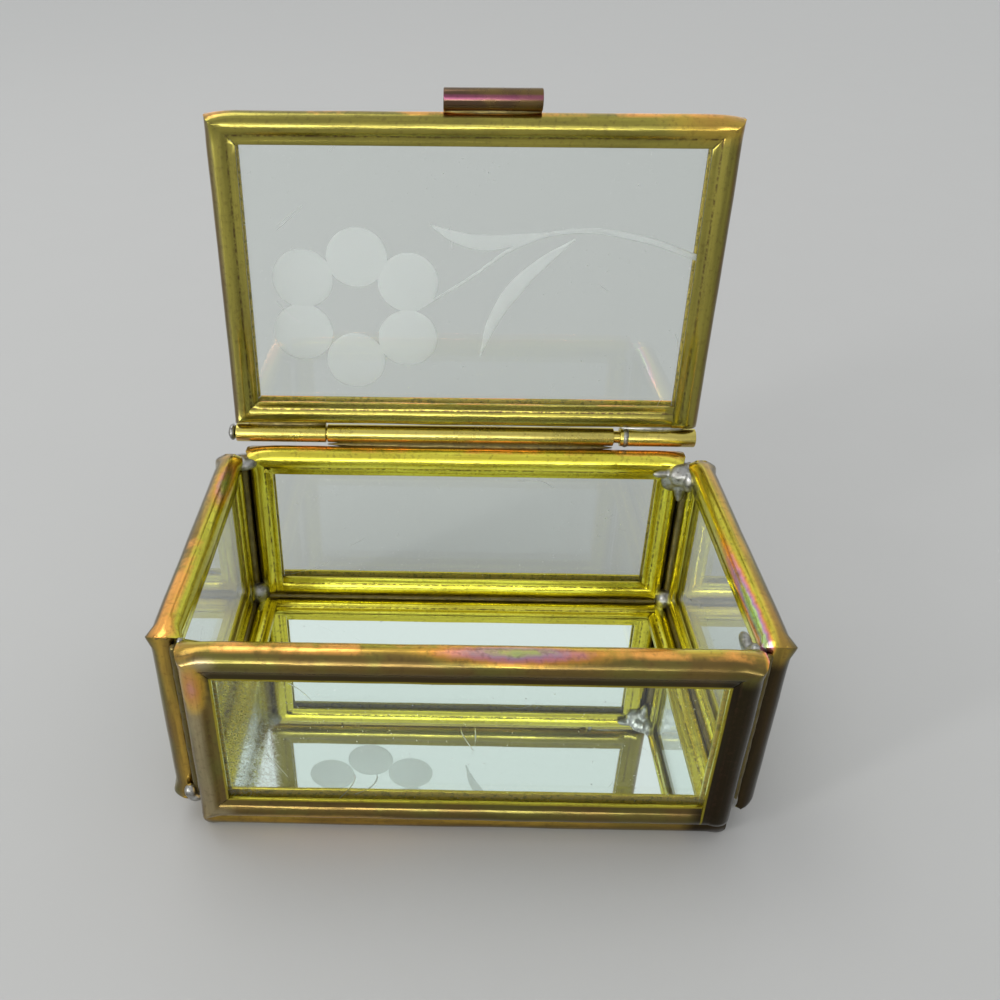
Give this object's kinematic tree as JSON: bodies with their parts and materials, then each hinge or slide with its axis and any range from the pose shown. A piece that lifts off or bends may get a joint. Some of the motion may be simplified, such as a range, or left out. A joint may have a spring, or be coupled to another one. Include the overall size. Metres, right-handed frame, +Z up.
{
  "type": "glass casket box",
  "caption": "Small keepsake casket of clear glass panes held in folded brass strip, with a mirrored floor, a cut flower on the pane of its hinged lid and a lift tab.",
  "frame": {"origin": "middle of the box, halfway between the side panels and between the front and back panels, on the flat underside of the base strip", "axes": "+X to the right and +Y to the back as seen from the front, +Z up"},
  "size_m": [0.0856, 0.0593, 0.0945],
  "materials": {
    "brass_strip": "lacquered brass strip, folded, aged with olive, orange and pink patches",
    "brass_tube": "drawn brass tube, patchy lacquer",
    "brass_pin": "plain drawn brass rod",
    "dark_brass": "brass tube darkened brown by heat",
    "solder": "grey lead-tin solder, dull and lumpy",
    "glass": "clear soda-lime glass, a few hairline scratches",
    "mirror": "silvered glass with small black specks"
  },
  "bodies": {
    "box": {"base_came": "brass_strip", "front_came": "brass_strip", "back_came": "brass_strip", "left_came": "brass_strip", "right_came": "brass_strip", "base_mirror": "mirror", "front_pane": "glass", "back_pane": "glass", "left_pane": "glass", "right_pane": "glass", "front_left_solder": "solder", "front_right_solder": "solder", "back_left_solder": "solder", "back_right_solder": "solder", "hinge_body_tube": "brass_tube", "hinge_seam_solder": "solder"},
    "lid": {"lid_came": "brass_strip", "lid_pane": "glass", "hinge_left_tube": "brass_tube", "hinge_right_tube": "brass_tube", "hinge_pin": "brass_pin", "pin_end_solder": "solder", "hinge_left_solder": "solder", "hinge_right_solder": "solder", "lift_tab": "dark_brass", "lift_tab_solder": "solder"}
  },
  "joints": [
    {"name": "lid_hinge", "type": "hinge", "parent": "box", "child": "lid", "pos_m": [0, 0.0279, 0.03735], "axis": [1, 0, 0], "range_deg": [0, 91.5]}
  ]
}
